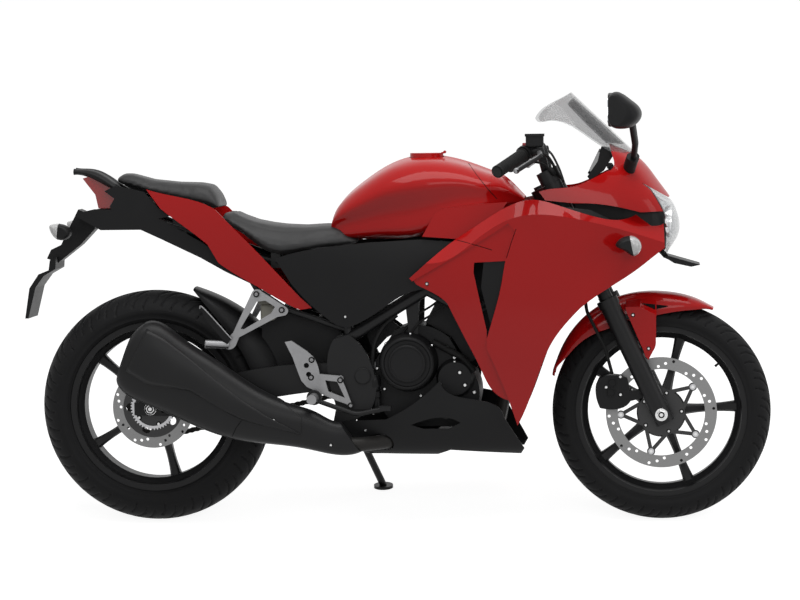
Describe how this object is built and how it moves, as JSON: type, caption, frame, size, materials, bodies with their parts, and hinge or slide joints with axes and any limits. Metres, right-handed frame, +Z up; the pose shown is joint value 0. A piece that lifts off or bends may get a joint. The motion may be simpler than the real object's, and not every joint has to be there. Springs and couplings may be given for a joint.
{
  "type": "sport motorcycle",
  "caption": "Fully faired road sport motorcycle with steering fork, spinning wheels, chain drive and a swinging side stand, parked leaning on the stand.",
  "frame": {"origin": "on the ground, under the middle of the bounding box of the parked bike", "axes": "+X forward, the longest extent; +Y to the rider's left; +Z up. The bike leans to +Y on its side stand"},
  "size_m": [2.0128, 0.7436, 1.1875],
  "materials": {
    "red_paint": "gloss red paint over moulded panels",
    "black_plastic": "satin black moulded plastic",
    "black_metal": "satin black painted metal",
    "silver_metal": "bare cast aluminium",
    "steel": "machined steel",
    "chrome_tube": "hard chromed tube",
    "tyre": "tyre rubber",
    "rubber": "black rubber",
    "seat_cover": "black seat covering",
    "clear_lens": "clear lamp lens",
    "red_lens": "red lamp lens",
    "pale_plastic": "pale translucent plastic",
    "smoked_screen": "smoked screen"
  },
  "bodies": {
    "chassis": {"chain": "steel", "swingarm": "black_metal", "hugger": "black_plastic", "shock": "black_metal", "rear_caliper": "black_metal", "frame": "black_metal", "seat_rails": "black_metal", "engine": "black_metal", "cylinder": "black_metal", "radiator": "black_metal", "exhaust_pipe": "steel", "muffler": "black_metal", "fuel_tank": "red_paint", "tank_shrouds": "red_paint", "rider_seat": "seat_cover", "pillion_seat": "seat_cover", "side_covers": "black_plastic", "tail_cowls": "red_paint", "grab_rail": "black_plastic", "tail_lamp": "red_lens", "undertray": "black_plastic", "plate_holder": "black_plastic", "rear_indicators": "black_plastic", "battery_box": "black_plastic", "brake_reservoir": "pale_plastic", "side_fairings": "red_paint", "mid_fairings": "red_paint", "inner_fairings": "black_plastic", "belly_pan": "black_plastic", "nose_cowl": "red_paint", "headlamp": "clear_lens", "lamp_housing": "black_plastic", "windscreen": "smoked_screen", "mirrors": "black_plastic", "dash": "black_plastic", "fairing_stay": "black_metal", "plate_bracket": "black_plastic", "front_indicators": "black_plastic", "rider_steps": "silver_metal", "pillion_steps": "silver_metal", "foot_levers": "black_metal"},
    "fork": {"fork_legs": "black_metal", "fork_tubes": "chrome_tube", "triple_clamps": "black_metal", "handlebars": "black_metal", "grips": "rubber", "hand_controls": "black_plastic", "front_fender": "red_paint", "front_caliper": "black_metal", "brake_hose": "rubber"},
    "front_wheel": {"front_rim": "black_metal", "front_tyre": "tyre", "front_disc": "steel"},
    "rear_wheel": {"rear_rim": "black_metal", "rear_tyre": "tyre", "rear_disc": "steel", "rear_sprocket": "steel"},
    "side_stand": {"side_stand": "black_metal"},
    "fuel_cap": {"fuel_cap": "silver_metal"}
  },
  "joints": [
    {"name": "steering", "type": "hinge", "parent": "chassis", "child": "fork", "pos_m": [0.43469, -0.03461, 0.79161], "axis": [-0.4226, 0.1574, 0.8925], "range_deg": [-35, 35]},
    {"name": "front_wheel_spin", "type": "hinge", "parent": "fork", "child": "front_wheel", "pos_m": [0.714, -0.12312, 0.28964], "axis": [0, 0.9848, -0.1736], "continuous": true},
    {"name": "rear_wheel_spin", "type": "hinge", "parent": "chassis", "child": "rear_wheel", "pos_m": [-0.656, -0.11947, 0.31032], "axis": [0, 0.9848, -0.1736], "continuous": true},
    {"name": "side_stand_swing", "type": "hinge", "parent": "chassis", "child": "side_stand", "pos_m": [-0.144, 0.0271, 0.23168], "axis": [0, 0.9387, 0.3447], "range_deg": [0, 95]},
    {"name": "fuel_cap_hinge", "type": "hinge", "parent": "chassis", "child": "fuel_cap", "pos_m": [0.138, -0.00139, 0.97999], "axis": [0, 0.9848, -0.1736], "range_deg": [0, 80]}
  ]
}
